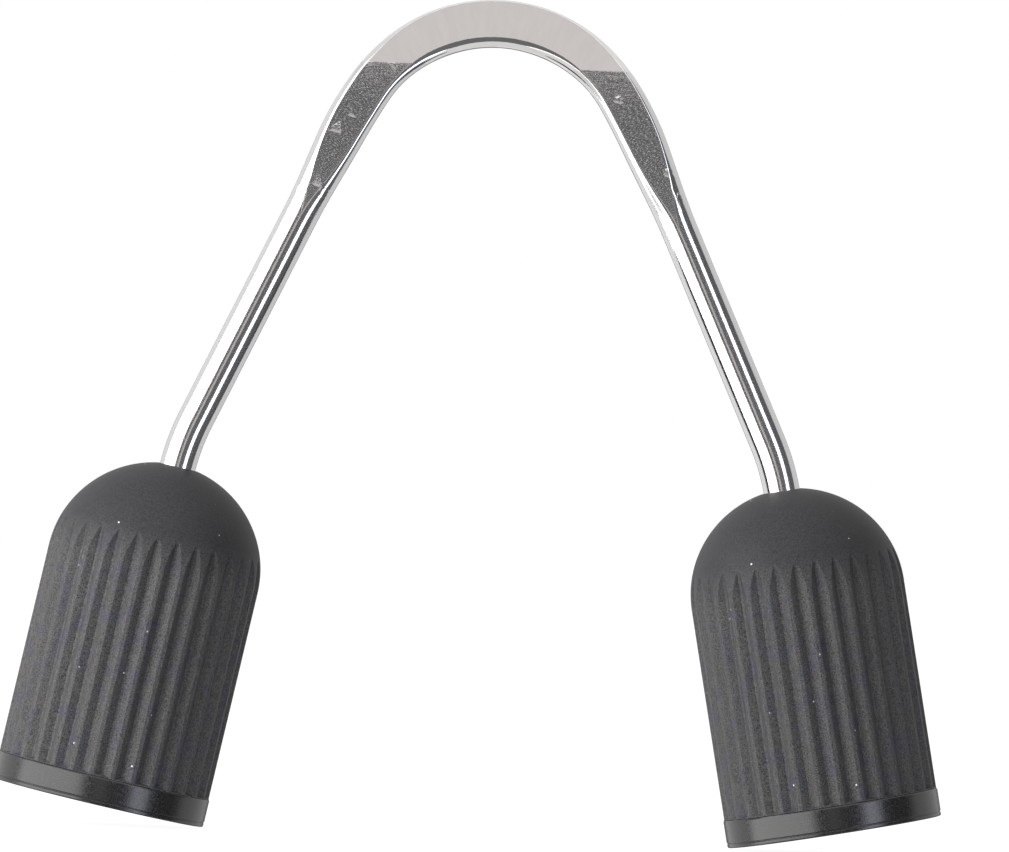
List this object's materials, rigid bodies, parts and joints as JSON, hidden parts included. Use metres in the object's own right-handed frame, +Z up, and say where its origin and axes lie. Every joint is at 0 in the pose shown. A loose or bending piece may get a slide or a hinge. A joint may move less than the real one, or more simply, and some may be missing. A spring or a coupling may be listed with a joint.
{
  "type": "two-cup bottle lifter",
  "caption": "Bent round bar with a pressed-flat hand grip and a domed, fluted rubber cup swivelling on each end, for lifting bottles by their necks.",
  "frame": {"origin": "underside of the hand grip at its middle, where the part hangs when it is carried", "axes": "+Z up, +X across from the left cup to the right cup, +Y through the bar's thickness away from the viewer"},
  "size_m": [0.1838, 0.042, 0.1624],
  "materials": {
    "chrome": "bright polished, with fine scratches along the bar",
    "rubber": "matte moulded rubber",
    "rim_plastic": "smooth satin",
    "core_plastic": "moulded",
    "soft_rubber": "soft matte",
    "steel": "plated",
    "nylon": "natural nylon"
  },
  "bodies": {
    "handle": {"handle_bar": "chrome", "left_upper_washer": "steel", "left_lower_washer": "steel", "left_lock_nut": "steel", "right_upper_washer": "steel", "right_lower_washer": "steel", "right_lock_nut": "steel"},
    "left_cup": {"left_grip_sleeve": "rubber", "left_cup_core": "core_plastic", "left_rim_ring": "rim_plastic", "left_neck_grip": "soft_rubber", "left_seat_pad": "soft_rubber", "left_pivot_bush": "nylon"},
    "right_cup": {"right_grip_sleeve": "rubber", "right_cup_core": "core_plastic", "right_rim_ring": "rim_plastic", "right_neck_grip": "soft_rubber", "right_seat_pad": "soft_rubber", "right_pivot_bush": "nylon"}
  },
  "joints": [
    {"name": "left_cup_swivel", "type": "hinge", "parent": "handle", "child": "left_cup", "pos_m": [-0.0715, 0, -0.14926], "axis": [0.1925, 0, 0.9813], "continuous": true},
    {"name": "right_cup_swivel", "type": "hinge", "parent": "handle", "child": "right_cup", "pos_m": [0.0715, 0, -0.14926], "axis": [-0.1925, 0, 0.9813], "continuous": true}
  ]
}
